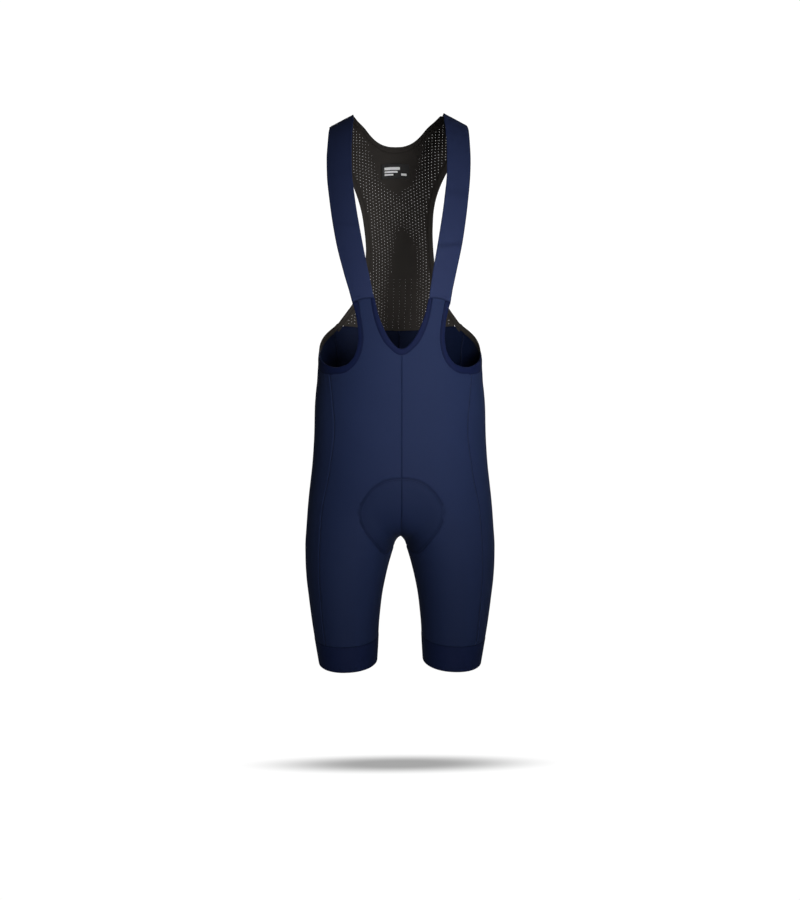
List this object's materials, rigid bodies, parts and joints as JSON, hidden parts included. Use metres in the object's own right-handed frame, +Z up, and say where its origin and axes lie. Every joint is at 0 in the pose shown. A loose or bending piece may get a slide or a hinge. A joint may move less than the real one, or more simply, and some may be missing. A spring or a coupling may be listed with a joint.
{
  "type": "cycling bib shorts",
  "caption": "Navy stretch cycling bib shorts with wide shoulder straps, black open-knit racer back, V neck, seat pad outline and elastic leg bands, filled out as when worn",
  "frame": {"origin": "midway between the two straps, on the line where they cross the wearer's shoulders", "axes": "+Z up the body, -Y out of the front, +X to the wearer's left"},
  "size_m": [0.3324, 0.2254, 0.957],
  "materials": {
    "navy_knit": "matte smooth stretch knit with a soft sheen",
    "navy_binding": "matte folded elastic binding",
    "black_knit": "matte open-hole stretch knit with solid edges",
    "label_grey": "smooth woven label with plain light bars",
    "pad_cloth": "matte brushed knit over foam"
  },
  "bodies": {
    "root": {"armhole_binding_left": "navy_binding", "armhole_binding_right": "navy_binding", "back_edge_left": "black_knit", "back_edge_right": "black_knit", "back_left": "navy_knit", "back_mesh": "black_knit", "back_neck_band": "black_knit", "back_right": "navy_knit", "cuff_left": "navy_binding", "cuff_right": "navy_binding", "front_left": "navy_knit", "front_right": "navy_knit", "label": "label_grey", "neck_binding": "navy_binding", "seat_pad": "pad_cloth", "side_left": "navy_knit", "side_right": "navy_knit", "strap_left": "navy_knit", "strap_right": "navy_knit"}
  },
  "joints": []
}
